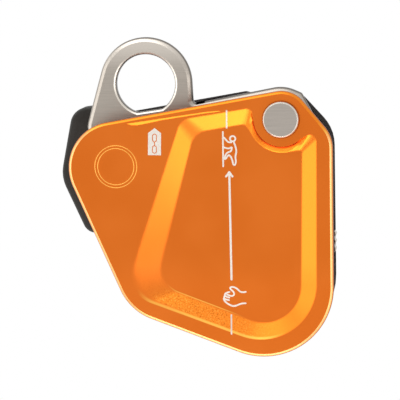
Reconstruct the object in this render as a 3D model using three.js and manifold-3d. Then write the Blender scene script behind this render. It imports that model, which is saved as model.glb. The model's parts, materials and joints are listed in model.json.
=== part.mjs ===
// Assisted braking belay device: swinging aluminium side plate, steel eye plate and black rear housing.
// Millimetres. X right, Z up, Y away from the viewer. The origin is the centre of the eye's hole.
import * as THREE from 'three';
import { mergeVertices } from 'three/addons/utils/BufferGeometryUtils.js';
import Module from 'manifold-3d';

const wasm = await Module();
wasm.setup();

// Fits
const slideGap = 0.3;
const fixedGap = 0.15;
const overrun = 1;

// Steel eye plate. Its top and its corner are set off from the pivot.
const steel = 4;
const eyeRadius = 9.45;
const eyeRim = 5.4;
const eyeBevelWide = 1.4;
const eyeBevelDeep = 0.8;
const holeBevel = 0.8;
const chordDrop = 8.6;
const chordTilt = THREE.MathUtils.degToRad(9.1);
const crotch = { x: 16.2, z: -5, r: -1 };
const steelTop = { right: -1.6, up: -2.5, r: 11.5 };
const steelCorner = { right: 4.1, up: 5.95, r: 1.5 };
const shoulder = { x: -12.6, z: -14, r: 6.3 };
const leverSeat = 6;
const skirtWall = 1.3;
const skirtGap = 0.3;
const skirtStart = -2;

// Outline of the side plate: a belt round five circles
const pivot = { x: 44.7, z: -9.7, r: 8.85 };
const faceTop = { x: -5.9, z: -26, r: 16.8 };
const faceLow = { x: 10, z: -56.5, r: 18 };
const faceHeel = { x: 39.1, z: -62.4, r: 22.3 };
const faceSide = { x: 50.5, z: -18.8, r: 10.35 };

// Side plate sheet and its pressed panel: a slope that runs down from one belt of circles to another
const ropeGap = 10.8;
const sheet = 2.2;
const pressDepth = 2.8;
const edgeBevel = 0.45;
const pressFilletShare = 0.22;
const heelRight = 1.2;
const heelDown = 1.5;
const heelRim = 6.3;
const heelSlope = 5.4;
const heelSlopeDrop = 0.5;
const slopeLow = { x: 8.5, z: -58.9, r: 11 };
const slopeSide = { x: 53.6, z: -16.4, r: 2.2 };
const slopeBite = 8.5;
const slopeTip = { x: 34.1, z: -7.6, r: 1.5 };
const slopeTop = { x: 15.6, z: -12.5, r: 3 };
const floorLow = { x: 16.7, z: -55.8, r: 10 };
const floorSide = { x: 50, z: -20.9, r: 0.9 };
const floorBite = 10.8;
const floorTip = { x: 32.1, z: -14, r: 2 };
const floorTop = { x: 19.4, z: -17.1, r: 3 };

// Pivot of the side plate
const pivotShank = 3;
const pivotHead = 5.6;
const pivotHeadDepth = 1.1;
const pivotHeadBevel = 0.35;
const bushWall = 1;
const bushFlange = 1;
const bushFlangeDepth = 0.6;
const spacerWall = 1.7;
const rearHead = 4.9;
const rearHeadDepth = 1.8;

// Rear housing and cover. The horn and the dip are set off from the pivot, the flank from faceSide.
const housingDepth = 13;
const housingBack = 2.6;
const housingWall = 3.2;
const housingInset = 1.2;
const housingTopInset = 0.8;
const housingRound = 1.8;
const housingFlank = { right: -4.2, up: -1.4, more: 2.85 };
const housingHorn = { right: 3.8, up: 3.5, r: 2 };
const housingDip = { right: -4.9, up: 16.6, r: -11.6 };
const housingTip = { x: 30.8, z: -5.1, r: 2.1 };
const cavitySide = { x: 50.6, z: -26, r: 4 };
const cavityHorn = { x: 31.3, z: -10, r: 2 };
const pivotBossWall = 5.6;
const coverMargin = 5;
const coverRebate = 1.2;
const coverProud = 0.5;
const coverRound = 0.5;
const bossRadius = 3.4;
const screwShank = 1.4;
const screwHead = 2.7;
const screwHeadDepth = 1;
const screwSocket = 1.3;
const screwSocketDeep = 0.6;
const screwTipGap = 0.4;
const screwSideBearing = THREE.MathUtils.degToRad(-114.1);
const screwSideInset = 3.0;
const screwHeelBearing = THREE.MathUtils.degToRad(-48.0);
const screwHeelInset = 12.7;
const screwLowBearing = THREE.MathUtils.degToRad(-70.3);
const screwLowInset = 10.6;
const screwTopBearing = THREE.MathUtils.degToRad(29.2);
const screwTopInset = 1.4;

// Cam, axle and drive arm
const cam = { x: 12, z: -48 };
const camHub = 7;
const camNose = 5.2;
const camReach = 10;
const camRestAngle = THREE.MathUtils.degToRad(-30);
const camBevel = 0.6;
const camGrooves = 4;
const camGroove = 0.8;
const camGroovePitch = THREE.MathUtils.degToRad(24);
const camAxle = 3.6;
const camTail = 3;
const bearingWall = 1.2;
const armFront = 0.6;
const armThick = 3;
const armHub = 6;
const armTip = 3.5;
const armTipBack = 0.5;
const clipThick = 0.9;
const clipWall = 1.6;
const stopRadius = 1.5;
const stopReach = 11;

// Release lever. Its circles go by a bearing from faceTop's centre and a distance inside faceTop's rim.
const lever = { x: -6.5, z: -38.5 };
const leverThrow = THREE.MathUtils.degToRad(42);
const gripTail = { bearing: THREE.MathUtils.degToRad(238.6), inset: -4.9, r: 4.2 };
const gripHorn = { bearing: THREE.MathUtils.degToRad(121.5), inset: 0.1, r: 4.1 };
const gripTab = { bearing: THREE.MathUtils.degToRad(138.3), inset: -1.5, r: 5.8 };
const gripBelly = { bearing: THREE.MathUtils.degToRad(195.9), inset: 5.9, r: 11.6 };
const gripFront = 0.4;
const gripBack = 0.4;
const gripRound = 2.6;
const webRoot = { bearing: THREE.MathUtils.degToRad(224.7), inset: 4.0, r: 7 };
const leverHub = 8;
const webThick = 4.6;
const leverAxle = 2.6;
const leverBushWall = 0.9;
const leverAxleHead = 4.4;
const leverAxleHeadDepth = 0.9;
const drivePin = 1.5;
const driveReach = 6.2;
const drivePinSeat = 2;
const forkGap = 0.4;
const sweepSteps = 7;
const sweepGap = 0.5;

// Brake block and rope guides
const blockFace = 8.6;
const blockWide = 15;
const blockTop = -37;
const blockBottom = -61;
const blockRound = 3;
const blockBevel = 0.8;
const blockRivet = 2;
const blockRivetHead = 3.4;
const blockRivetHeadDepth = 1;
const blockRivetPitch = 13;
const guideRadius = 3;
const guideShank = 1.9;
const guideTopRight = 0.2;
const guideTopDown = 0.5;
const guideLowBearing = THREE.MathUtils.degToRad(-45.0);
const guideLowInset = 4.6;

// Cam return spring
const springWire = 0.8;
const springTurns = 3;
const springGap = 0.6;
const springLeg = 6;
const springPost = 1.2;
const springStepsPerTurn = 10;
const springSides = 6;

// Side catch
const catchZ = -50.9;
const catchTravel = 3;
const catchHigh = 12;
const catchDeep = 9.7;
const catchButtonBack = 5.3;
const catchWide = 4.2;
const catchRibs = 3;
const catchRibRadius = 1;
const catchRibPitch = 2.45;
const catchProud = 0.45;
const catchPost = 1.3;
const catchPostInset = 1.6;
const catchSpringHigh = 6;
const catchSpringRadius = 1.4;
const catchSpringWire = 0.5;
const catchSpringTurns = 4;

// Facets
const fine = 36;
const medium = 20;
const coarse = 12;
const arcStep = THREE.MathUtils.degToRad(9);
const fewestSteps = 2;
const roundSteps = 3;
const socketSides = 6;
const weldTolerance = 1e-4;
const turn = Math.PI * 2;

// Depths worked out from the sizes above
const steelFront = -steel / 2;
const steelBack = steel / 2;
const panelBack = steelFront - ropeGap;
const panelFront = panelBack - sheet;
const rimFront = panelFront - pressDepth;
const rimBack = rimFront + sheet;
const channelTop = panelBack + slideGap;
const housingRear = steelBack + housingDepth;
const cavityRear = housingRear - housingBack;
const coverRear = housingRear + coverProud;
const armRear = steelBack + armFront + armThick;
const webFront = armRear + slideGap;
const webRear = webFront + webThick;
const faceOutline = [faceLow, faceHeel, faceSide, pivot, faceTop];

// Looks
const orange = new THREE.MeshStandardMaterial({ color: 0xd8691e, roughness: 0.35, metalness: 0.8 });
const brushed = new THREE.MeshStandardMaterial({ color: 0xb4aaa0, roughness: 0.35, metalness: 1 });
const hardened = new THREE.MeshStandardMaterial({ color: 0x8c8883, roughness: 0.4, metalness: 1 });
const bronze = new THREE.MeshStandardMaterial({ color: 0xa9834a, roughness: 0.4, metalness: 1 });
const nylon = new THREE.MeshStandardMaterial({ color: 0x1e1a17, roughness: 0.6, metalness: 0 });
const softGrey = new THREE.MeshStandardMaterial({ color: 0x464441, roughness: 0.55, metalness: 0 });

const device = new THREE.Group();

function place(name, geometry, material) {
  const mesh = new THREE.Mesh(geometry, material);
  mesh.name = name;
  device.add(mesh);
  return mesh;
}

// Shared vertices, position only, ready to be cut or joined
function weld(geometry) {
  const bare = geometry.index ? geometry.toNonIndexed() : geometry;
  bare.deleteAttribute('normal');
  bare.deleteAttribute('uv');
  return mergeVertices(bare, weldTolerance);
}

function toSolid(geometry) {
  const welded = weld(geometry);
  const mesh = new wasm.Mesh({
    numProp: 3,
    vertProperties: new Float32Array(welded.attributes.position.array),
    triVerts: new Uint32Array(welded.index.array),
  });
  mesh.merge();
  return new wasm.Manifold(mesh);
}

function toGeometry(solid) {
  const mesh = solid.getMesh();
  const geometry = new THREE.BufferGeometry();
  geometry.setAttribute('position', new THREE.BufferAttribute(new Float32Array(mesh.vertProperties), 3));
  geometry.setIndex(new THREE.BufferAttribute(new Uint32Array(mesh.triVerts), 1));
  return geometry;
}

function cut(geometry, ...tools) {
  return toGeometry(tools.reduce((solid, tool) => solid.subtract(toSolid(tool)), toSolid(geometry)));
}

function join(geometry, ...others) {
  return toGeometry(others.reduce((solid, other) => solid.add(toSolid(other)), toSolid(geometry)));
}

// The bends of a closed outline round circles, counterclockwise from the front.
// A negative radius bends it inward.
function arcs(circles) {
  const normals = circles.map((circle, i) => {
    const next = circles[(i + 1) % circles.length];
    const dx = next.x - circle.x;
    const dz = next.z - circle.z;
    return Math.atan2(dz, dx) - Math.acos((circle.r - next.r) / Math.hypot(dx, dz));
  });
  return circles.map((circle, i) => {
    const from = normals[(i + circles.length - 1) % circles.length];
    const sweep = THREE.MathUtils.euclideanModulo(normals[i] - from, turn) - (circle.r < 0 ? turn : 0);
    return { ...circle, from, sweep, steps: Math.max(fewestSteps, Math.ceil(Math.abs(sweep) / arcStep)) };
  });
}

function along(bend, steps) {
  return Array.from({ length: steps + 1 }, (_, k) => {
    const angle = bend.from + (bend.sweep * k) / steps;
    return new THREE.Vector2(bend.x + bend.r * Math.cos(angle), bend.z + bend.r * Math.sin(angle));
  });
}

function belt(circles, inset = 0) {
  return arcs(circles).flatMap((bend) => along({ ...bend, r: bend.r - inset }, bend.steps));
}

function circleOutline(spot, radius, steps = medium) {
  return Array.from({ length: steps }, (_, k) => {
    const angle = (turn * k) / steps;
    return new THREE.Vector2(spot.x + radius * Math.cos(angle), spot.z + radius * Math.sin(angle));
  });
}

class Facets {
  constructor() {
    this.numbers = [];
  }

  triangle(a, b, c) {
    this.numbers.push(...a, ...b, ...c);
  }

  // Walls between two matching rings, the nearer one first
  walls(near, far) {
    near.forEach((a, i) => {
      const b = near[(i + 1) % near.length];
      const c = far[(i + 1) % far.length];
      const d = far[i];
      this.triangle(a, c, b);
      this.triangle(a, d, c);
    });
  }

  // A flat face in a plane of constant depth, with or without holes
  face(outline, holes, y, backward) {
    const all = [...outline, ...holes.flat()];
    THREE.ShapeUtils.triangulateShape(outline, holes).forEach((corners) => {
      const [a, b, c] = corners.map((k) => [all[k].x, y, all[k].y]);
      if (backward) this.triangle(a, c, b);
      else this.triangle(a, b, c);
    });
  }

  geometry() {
    const geometry = new THREE.BufferGeometry();
    geometry.setAttribute('position', new THREE.Float32BufferAttribute(this.numbers, 3));
    return weld(geometry);
  }
}

const ring = (outline, y) => outline.map((point) => [point.x, y, point.y]);

// A solid from matching outlines at rising depths
function stack(levels) {
  const facets = new Facets();
  const first = levels[0];
  const last = levels[levels.length - 1];
  facets.face(first.outline, [], first.y, false);
  for (let k = 0; k + 1 < levels.length; k += 1) {
    facets.walls(ring(levels[k].outline, levels[k].y), ring(levels[k + 1].outline, levels[k + 1].y));
  }
  facets.face(last.outline, [], last.y, true);
  return facets.geometry();
}

// A plate with its near edge bevelled
function slab(circles, near, far, bevel) {
  return stack([
    { outline: belt(circles, bevel), y: near },
    { outline: belt(circles), y: near + bevel },
    { outline: belt(circles), y: far },
  ]);
}

function prism(outline, near, far) {
  return stack([{ outline, y: near }, { outline, y: far }]);
}

// A turned piece on an axis along Y, from pairs of radius and depth
function turned(profile, spot, segments = medium) {
  const points = profile.map(([radius, y]) => new THREE.Vector2(radius, y));
  const geometry = new THREE.LatheGeometry(points, segments);
  geometry.translate(spot.x, 0, spot.z);
  return weld(geometry);
}

function pin(radius, near, far, spot, segments = medium) {
  return turned([[0, near], [radius, near], [radius, far], [0, far]], spot, segments);
}

function tube(inner, outer, near, far, spot, segments = medium) {
  return turned([[inner, near], [outer, near], [outer, far], [inner, far], [inner, near]], spot, segments);
}

function rimmed(circle, inset) {
  return { ...circle, r: circle.r - inset };
}

// A point at a bearing from a circle's centre, some way inside its rim
function inside(circle, bearing, inset) {
  const reach = circle.r - inset;
  return { x: circle.x + reach * Math.cos(bearing), z: circle.z + reach * Math.sin(bearing) };
}

// Where the straight edge from one circle of an outline to the next crosses a height
function edgeX(circle, next, z) {
  const dx = next.x - circle.x;
  const dz = next.z - circle.z;
  const normal = Math.atan2(dz, dx) - Math.acos((circle.r - next.r) / Math.hypot(dx, dz));
  return circle.x + (circle.r - (z - circle.z) * Math.sin(normal)) / Math.cos(normal);
}

// A circle set off from another one's centre
function shifted(circle, offset) {
  return { x: circle.x + offset.right, z: circle.z + offset.up, r: offset.r };
}

function grow(circles, amount) {
  return circles.map((circle) => ({ ...circle, r: circle.r + amount }));
}

// Side plate: a sheet with a bevelled edge, pressed inward in the middle
function sidePlate() {
  const ramp = (share) => {
    const f = pressFilletShare;
    if (share < f) return (share * share) / (2 * f * (1 - f));
    if (share > 1 - f) return 1 - ((1 - share) * (1 - share)) / (2 * f * (1 - f));
    return (share - f / 2) / (1 - f);
  };
  const start = [0, pressFilletShare / 2, pressFilletShare];
  const shares = [...start, ...start.map((share) => 1 - share).reverse()];
  const pressRing = (share) => pressOuter.map((outer, i) => {
    const inner = pressInner[i];
    return {
      x: outer.x + (inner.x - outer.x) * share,
      z: outer.z + (inner.z - outer.z) * share,
      r: outer.r + (inner.r - outer.r) * share,
    };
  });
  const rings = matched(shares.map((share) => pressRing(share)));
  const facets = new Facets();
  const bevelled = belt(faceOutline, edgeBevel);
  const full = belt(faceOutline);
  facets.face(bevelled, [rings[0]], rimFront, false);
  shares.slice(1).forEach((share, k) => {
    const y = rimFront + pressDepth * ramp(share);
    const before = rimFront + pressDepth * ramp(shares[k]);
    facets.walls(ring(rings[k + 1], y), ring(rings[k], before));
    facets.walls(ring(rings[k], before + sheet), ring(rings[k + 1], y + sheet));
  });
  const last = rings[rings.length - 1];
  facets.face(last, [], panelFront, false);
  facets.face(last, [], panelBack, true);
  facets.face(bevelled, [rings[0]], rimBack, true);
  facets.walls(ring(bevelled, rimFront), ring(full, rimFront + edgeBevel));
  facets.walls(ring(full, rimFront + edgeBevel), ring(full, rimBack - edgeBevel));
  facets.walls(ring(full, rimBack - edgeBevel), ring(bevelled, rimBack));
  const bore = pivotShank + slideGap + bushWall + fixedGap;
  return cut(facets.geometry(), pin(bore, rimFront - overrun, rimBack + overrun, pivot, fine));
}

// Rings of one family of outlines, all with the same points
function matched(family) {
  const bends = family.map((circles) => arcs(circles));
  return bends.map((list) => list.flatMap((bend, i) => (
    along(bend, Math.max(...bends.map((other) => other[i].steps))))));
}

// Outlines of the main pieces, as circles
const slopeHeel = shifted(faceHeel, { right: heelRight, up: -heelDown, r: faceHeel.r - heelRim });
const floorHeel = shifted(slopeHeel, { right: 0, up: -heelSlopeDrop, r: slopeHeel.r - heelSlope });
const pressOuter = [
  slopeLow, slopeHeel, slopeSide,
  { x: pivot.x, z: pivot.z, r: -slopeBite }, slopeTip, slopeTop,
];
const pressInner = [
  floorLow, floorHeel, floorSide, { x: pivot.x, z: pivot.z, r: -floorBite }, floorTip, floorTop,
];
const housingLow = rimmed(faceLow, housingInset);
const housingHeel = rimmed(faceHeel, housingInset);
const housingSide = shifted(faceSide, { ...housingFlank, r: faceSide.r + housingFlank.more });
const housingTop = rimmed(faceTop, housingTopInset);
const steelInset = skirtWall + skirtGap;
const steelOutline = [
  rimmed(housingLow, steelInset), rimmed(housingHeel, steelInset), rimmed(housingSide, steelInset),
  shifted(pivot, steelCorner), shifted(pivot, steelTop), crotch,
  { x: 0, z: 0, r: eyeRadius + eyeRim }, shoulder, { ...lever, r: leverSeat },
];
const housingOutline = [
  housingLow, housingHeel, housingSide, shifted(pivot, housingHorn), shifted(pivot, housingDip), housingTip,
  housingTop,
];
const pivotRecess = rearHead + slideGap;
const cavityOutline = [
  rimmed(housingLow, housingWall), rimmed(housingHeel, housingWall), cavitySide,
  { x: pivot.x, z: pivot.z, r: -pivotRecess - pivotBossWall }, cavityHorn, rimmed(housingTop, housingWall),
];
const screwSpots = [
  inside(faceSide, screwSideBearing, screwSideInset),
  inside(faceHeel, screwHeelBearing, screwHeelInset),
  inside(faceLow, screwLowBearing, screwLowInset),
  inside(faceTop, screwTopBearing, screwTopInset),
];
const coverOutline = [2, 1, 0, 3].map((k) => ({ ...screwSpots[k], r: coverMargin }));
const guideSpots = [
  { x: floorTop.x + guideTopRight, z: floorTop.z - guideTopDown },
  inside(faceLow, guideLowBearing, guideLowInset),
];
const gripOutline = [gripTail, gripHorn, gripTab, gripBelly].map((circle) => (
  { ...inside(faceTop, circle.bearing, circle.inset), r: circle.r }));
const webOutline = [
  { ...lever, r: leverHub },
  { ...inside(faceTop, webRoot.bearing, webRoot.inset), r: webRoot.r },
];

// Places worked out from the mechanism
const baseAngle = Math.atan2(cam.z - lever.z, cam.x - lever.x);
const driveSpot = {
  x: lever.x + driveReach * Math.cos(baseAngle - leverThrow / 2),
  z: lever.z + driveReach * Math.sin(baseAngle - leverThrow / 2),
};
const armAngle = Math.atan2(driveSpot.z - cam.z, driveSpot.x - cam.x);
const armReach = Math.hypot(cam.x - lever.x, cam.z - lever.z) - driveReach;
const nose = { x: cam.x + camReach * Math.cos(camRestAngle), z: cam.z + camReach * Math.sin(camRestAngle) };
const blockLeft = nose.x + camNose + blockFace;
const blockMiddle = { x: blockLeft + blockWide / 2, z: (blockTop + blockBottom) / 2 };
const blockRivetSpots = [1, -1].map((side) => ({
  x: blockMiddle.x, z: blockMiddle.z + (side * blockRivetPitch) / 2,
}));
const stopSide = armHub + (armTip - armHub) * (stopReach / armReach) + stopRadius + slideGap;
const stopSpot = {
  x: cam.x + stopReach * Math.cos(armAngle) - stopSide * Math.sin(armAngle),
  z: cam.z + stopReach * Math.sin(armAngle) + stopSide * Math.cos(armAngle),
};
const springRadius = camTail + springGap + springWire / 2;
const springFront = armRear + slideGap + springWire / 2;
const springRear = cavityRear - 2 * slideGap - clipThick - springWire / 2;
const postSpot = { x: cam.x + springLeg, z: cam.z + springRadius + springWire / 2 + fixedGap + springPost };
const skirtOuter = edgeX(housingHeel, housingSide, catchZ);
const pocketOuter = skirtOuter - skirtWall + skirtGap;
const catchPostX = pocketOuter - slideGap - catchPostInset;
const catchTop = catchZ + catchHigh / 2;
const catchBottom = catchZ - catchHigh / 2;
const pocketBottom = catchBottom - catchSpringHigh;
const catchY = steelBack + slideGap;
const buttonFront = catchY + catchButtonBack;

// The eye's hole: a circle closed by a chord in line with the plate's top edge
function eyeHole(radius) {
  const half = Math.acos(chordDrop / eyeRadius);
  const from = chordTilt - Math.PI / 2 + half;
  const sweep = turn - 2 * half;
  return Array.from({ length: fine + 1 }, (_, k) => {
    const angle = from + (sweep * k) / fine;
    return new THREE.Vector2(radius * Math.cos(angle), radius * Math.sin(angle));
  });
}

function eyePlate() {
  const levels = [
    { outline: belt(steelOutline, eyeBevelWide), y: steelFront },
    { outline: belt(steelOutline), y: steelFront + eyeBevelDeep },
    { outline: belt(steelOutline), y: steelBack - eyeBevelDeep },
    { outline: belt(steelOutline, eyeBevelWide), y: steelBack },
  ];
  const hole = stack([
    { outline: eyeHole(eyeRadius + holeBevel + overrun), y: steelFront - overrun },
    { outline: eyeHole(eyeRadius), y: steelFront + holeBevel },
    { outline: eyeHole(eyeRadius), y: steelBack - holeBevel },
    { outline: eyeHole(eyeRadius + holeBevel + overrun), y: steelBack + overrun },
  ]);
  const through = (radius, spot, segments) => pin(
    radius, steelFront - overrun, steelBack + overrun, spot, segments);
  const notch = box(
    catchPostX - catchPost - slideGap, skirtOuter + overrun, steelFront - overrun, steelBack + overrun,
    catchZ - catchPost - slideGap - catchTravel, catchZ + catchPost + slideGap);
  return cut(
    stack(levels), hole, notch,
    through(pivotShank + fixedGap, pivot, medium),
    through(camAxle + slideGap + bearingWall + fixedGap, cam, medium),
    through(leverAxle + fixedGap, lever, medium),
    through(stopRadius + fixedGap, stopSpot, coarse),
    through(springPost + fixedGap, postSpot, coarse),
    ...blockRivetSpots.map((spot) => through(blockRivet + fixedGap, spot, coarse)),
    ...guideSpots.map((spot) => through(guideShank + fixedGap, spot, coarse)),
    ...screwSpots.map((spot) => through(screwShank + fixedGap, spot, coarse)),
  );
}

function box(left, right, near, far, low, high) {
  const geometry = new THREE.BoxGeometry(right - left, far - near, high - low);
  geometry.translate((left + right) / 2, (near + far) / 2, (low + high) / 2);
  return weld(geometry);
}

// Turned counterclockwise, seen from the front, about an axis along Y
function swung(circles, centre, angle) {
  return circles.map((circle) => {
    const dx = circle.x - centre.x;
    const dz = circle.z - centre.z;
    return {
      x: centre.x + dx * Math.cos(angle) - dz * Math.sin(angle),
      z: centre.z + dx * Math.sin(angle) + dz * Math.cos(angle),
      r: circle.r,
    };
  });
}

// The room that the lever sweeps as it is pulled
function leverRoom() {
  const rooms = [];
  for (let k = 0; k <= sweepSteps; k += 1) {
    const angle = (leverThrow * k) / sweepSteps;
    const grip = belt(grow(swung(gripOutline, lever, angle), sweepGap));
    const web = belt(grow(swung(webOutline, lever, angle), sweepGap));
    rooms.push(prism(grip, steelBack - overrun, housingRear + overrun));
    rooms.push(prism(web, webFront - slideGap, webRear + slideGap));
  }
  return rooms;
}

function rounded(circles, near, far, nearRound, farRound) {
  const levels = [];
  const bend = (k) => (Math.PI / 2) * (k / roundSteps);
  for (let k = 0; nearRound && k < roundSteps; k += 1) {
    levels.push({
      outline: belt(circles, nearRound * (1 - Math.sin(bend(k)))),
      y: near + nearRound * (1 - Math.cos(bend(k))),
    });
  }
  levels.push({ outline: belt(circles), y: near + nearRound });
  levels.push({ outline: belt(circles), y: far - farRound });
  for (let k = 1; farRound && k <= roundSteps; k += 1) {
    levels.push({
      outline: belt(circles, farRound * (1 - Math.cos(bend(k)))),
      y: far - farRound * (1 - Math.sin(bend(k))),
    });
  }
  return stack(levels);
}

function rearHousing() {
  const shell = rounded(housingOutline, steelBack, housingRear, 0, housingRound);
  const skirt = cut(
    prism(belt(housingOutline), steelFront, steelBack + overrun),
    prism(belt(grow(steelOutline, skirtGap)), steelFront - overrun, steelBack + 2 * overrun),
    box(housingTop.x - housingTop.r - overrun, skirtStart, steelFront - overrun, steelBack + 2 * overrun,
      housingHeel.z - housingHeel.r - overrun, overrun),
  );
  const hollow = prism(belt(cavityOutline), steelBack - overrun, cavityRear);
  const bosses = screwSpots.map((spot) => pin(bossRadius, steelBack, cavityRear + overrun, spot));
  const pocket = box(
    catchPostX - catchWide, pocketOuter, steelBack - overrun, catchY + catchDeep + slideGap,
    pocketBottom, catchTop + slideGap);
  const window = box(
    pocketOuter - overrun, skirtOuter + overrun, buttonFront - slideGap, catchY + catchDeep + slideGap,
    catchZ - catchRibPitch - catchRibRadius - slideGap - catchTravel,
    catchZ + catchRibPitch + catchRibRadius + slideGap);
  const rebate = prism(belt(grow(coverOutline, slideGap)), housingRear - coverRebate, housingRear + overrun);
  const recess = pin(pivotRecess, steelFront - overrun, steelBack + rearHeadDepth + slideGap, pivot);
  const walls = cut(join(cut(shell, hollow), skirt, ...bosses), pocket, window, rebate, recess);
  const pilots = screwSpots.map((spot) => pin(
    screwShank + fixedGap, steelBack - overrun, housingRear, spot, coarse));
  return cut(walls, ...leverRoom(), ...pilots);
}

function rearCover() {
  const plate = rounded(coverOutline, housingRear - coverRebate, coverRear, 0, coverRound);
  const holes = screwSpots.flatMap((spot) => [
    pin(screwShank + fixedGap, housingRear - coverRebate - overrun, coverRear + overrun, spot, coarse),
    pin(screwHead + fixedGap, coverRear - screwHeadDepth - fixedGap, coverRear + overrun, spot, medium),
  ]);
  return cut(plate, ...holes);
}

function housingScrew(spot) {
  const screw = turned([
    [0, steelFront + screwTipGap], [screwShank, steelFront + screwTipGap],
    [screwShank, coverRear - screwHeadDepth], [screwHead, coverRear - screwHeadDepth],
    [screwHead, coverRear], [0, coverRear],
  ], spot, coarse);
  const hexagon = circleOutline(spot, screwSocket, socketSides);
  return cut(screw, prism(hexagon, coverRear - screwSocketDeep, coverRear + overrun));
}

// Pivot of the side plate: rivet, spacer between the plates, bush in the side plate and head at the back
function pivotRivet() {
  const head = rimFront - bushFlangeDepth - slideGap - fixedGap;
  return turned([
    [0, head - pivotHeadDepth], [pivotHead - pivotHeadBevel, head - pivotHeadDepth],
    [pivotHead, head - pivotHeadDepth + pivotHeadBevel], [pivotHead, head], [pivotShank, head],
    [pivotShank, steelBack + rearHeadDepth], [0, steelBack + rearHeadDepth],
  ], pivot, fine);
}

function pivotSpacer() {
  const inner = pivotShank + fixedGap;
  return tube(inner, inner + spacerWall, rimBack + slideGap, steelFront, pivot);
}

function plateBush() {
  const inner = pivotShank + slideGap;
  const outer = inner + bushWall;
  const flangeRear = rimFront - fixedGap;
  const flangeFront = flangeRear - bushFlangeDepth;
  return turned([
    [inner, flangeFront], [outer + bushFlange, flangeFront], [outer + bushFlange, flangeRear],
    [outer, flangeRear], [outer, rimBack], [inner, rimBack], [inner, flangeFront],
  ], pivot);
}

function pivotCollar() {
  return tube(pivotShank + fixedGap, rearHead, steelBack, steelBack + rearHeadDepth, pivot);
}

// Cam between the plates, with its axle, drive arm, spring and stop behind the steel
function brakeCam() {
  const outline = [{ ...cam, r: camHub }, { ...nose, r: camNose }];
  const levels = [
    { outline: belt(outline, camBevel), y: channelTop },
    { outline: belt(outline), y: channelTop + camBevel },
    { outline: belt(outline), y: steelFront - slideGap - camBevel },
    { outline: belt(outline, camBevel), y: steelFront - slideGap },
  ];
  const grooves = Array.from({ length: camGrooves }, (_, k) => {
    const angle = camRestAngle + (k - (camGrooves - 1) / 2) * camGroovePitch;
    const spot = { x: nose.x + camNose * Math.cos(angle), z: nose.z + camNose * Math.sin(angle) };
    return pin(camGroove, channelTop - overrun, steelFront + overrun, spot, coarse);
  });
  return cut(stack(levels), pin(camAxle + fixedGap, channelTop - overrun, steelFront, cam), ...grooves);
}

function camAxlePin() {
  return turned([
    [0, channelTop], [camAxle, channelTop], [camAxle, armRear], [camTail, armRear],
    [camTail, cavityRear - slideGap], [0, cavityRear - slideGap],
  ], cam);
}

function camBearing() {
  const inner = camAxle + slideGap;
  return tube(inner, inner + bearingWall, steelFront, steelBack, cam);
}

function camArm() {
  const tip = armReach - armTipBack;
  const outline = [
    { ...cam, r: armHub },
    { x: cam.x + tip * Math.cos(armAngle), z: cam.z + tip * Math.sin(armAngle), r: armTip },
  ];
  const slotHalf = drivePin + forkGap;
  const slotStart = armReach - drivePin - forkGap;
  const slot = box(
    cam.x + slotStart, cam.x + armReach + armTip + overrun, steelBack, armRear + overrun,
    cam.z - slotHalf, cam.z + slotHalf);
  slot.translate(-cam.x, 0, -cam.z);
  slot.rotateY(-armAngle);
  slot.translate(cam.x, 0, cam.z);
  const plate = prism(belt(outline), steelBack + armFront, armRear);
  return cut(plate, slot, pin(camAxle + fixedGap, steelBack, armRear + overrun, cam));
}

function camClip() {
  const inner = camTail + fixedGap;
  return tube(inner, inner + clipWall, cavityRear - slideGap - clipThick, cavityRear - slideGap, cam);
}

function camStopPin() {
  return pin(stopRadius, steelFront + screwTipGap, armRear, stopSpot, coarse);
}

function springPostPin() {
  return pin(springPost, steelFront + screwTipGap, springRear + springWire, postSpot, coarse);
}

// A wire with flat ends along a run of points
function wire(points, radius, sides) {
  const curve = new THREE.CatmullRomCurve3(points, false, 'centripetal');
  const section = new THREE.Shape(circleOutline({ x: 0, z: 0 }, radius, sides));
  return weld(new THREE.ExtrudeGeometry(section, {
    steps: points.length - 1, bevelEnabled: false, extrudePath: curve,
  }));
}

function camSpring() {
  const steps = springTurns * springStepsPerTurn;
  const points = [new THREE.Vector3(cam.x - springLeg, springFront, cam.z + springRadius)];
  for (let k = 0; k <= steps; k += 1) {
    const angle = Math.PI / 2 - (turn * k) / springStepsPerTurn;
    points.push(new THREE.Vector3(
      cam.x + springRadius * Math.cos(angle),
      springFront + (springRear - springFront) * (k / steps),
      cam.z + springRadius * Math.sin(angle)));
  }
  points.push(new THREE.Vector3(cam.x + springLeg, springRear, cam.z + springRadius));
  return wire(points, springWire / 2, springSides);
}

// Release lever: a long grip on a hub, on a shouldered axle, with a pin that drives the cam's arm
function releaseLever() {
  const grip = rounded(gripOutline, steelBack + gripFront, housingRear - gripBack, gripRound, gripRound);
  const web = prism(belt(webOutline), webFront, webRear);
  const hubBore = leverAxle + slideGap + leverBushWall + fixedGap;
  const bore = pin(hubBore, webFront - overrun, webRear + overrun, lever);
  const seatRear = webFront + drivePinSeat + fixedGap;
  const seat = pin(drivePin + fixedGap, webFront - overrun, seatRear, driveSpot, coarse);
  return cut(join(grip, web), bore, seat);
}

function leverBush() {
  const inner = leverAxle + slideGap;
  return tube(inner, inner + leverBushWall, webFront, webRear, lever);
}

function leverAxlePin() {
  const seat = webRear + slideGap;
  return turned([
    [0, steelFront + screwTipGap], [leverAxle, steelFront + screwTipGap], [leverAxle, seat],
    [leverAxleHead, seat], [leverAxleHead, seat + leverAxleHeadDepth], [0, seat + leverAxleHeadDepth],
  ], lever);
}

function leverDrivePin() {
  return pin(drivePin, steelBack + armFront, webFront + drivePinSeat, driveSpot, coarse);
}

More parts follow.
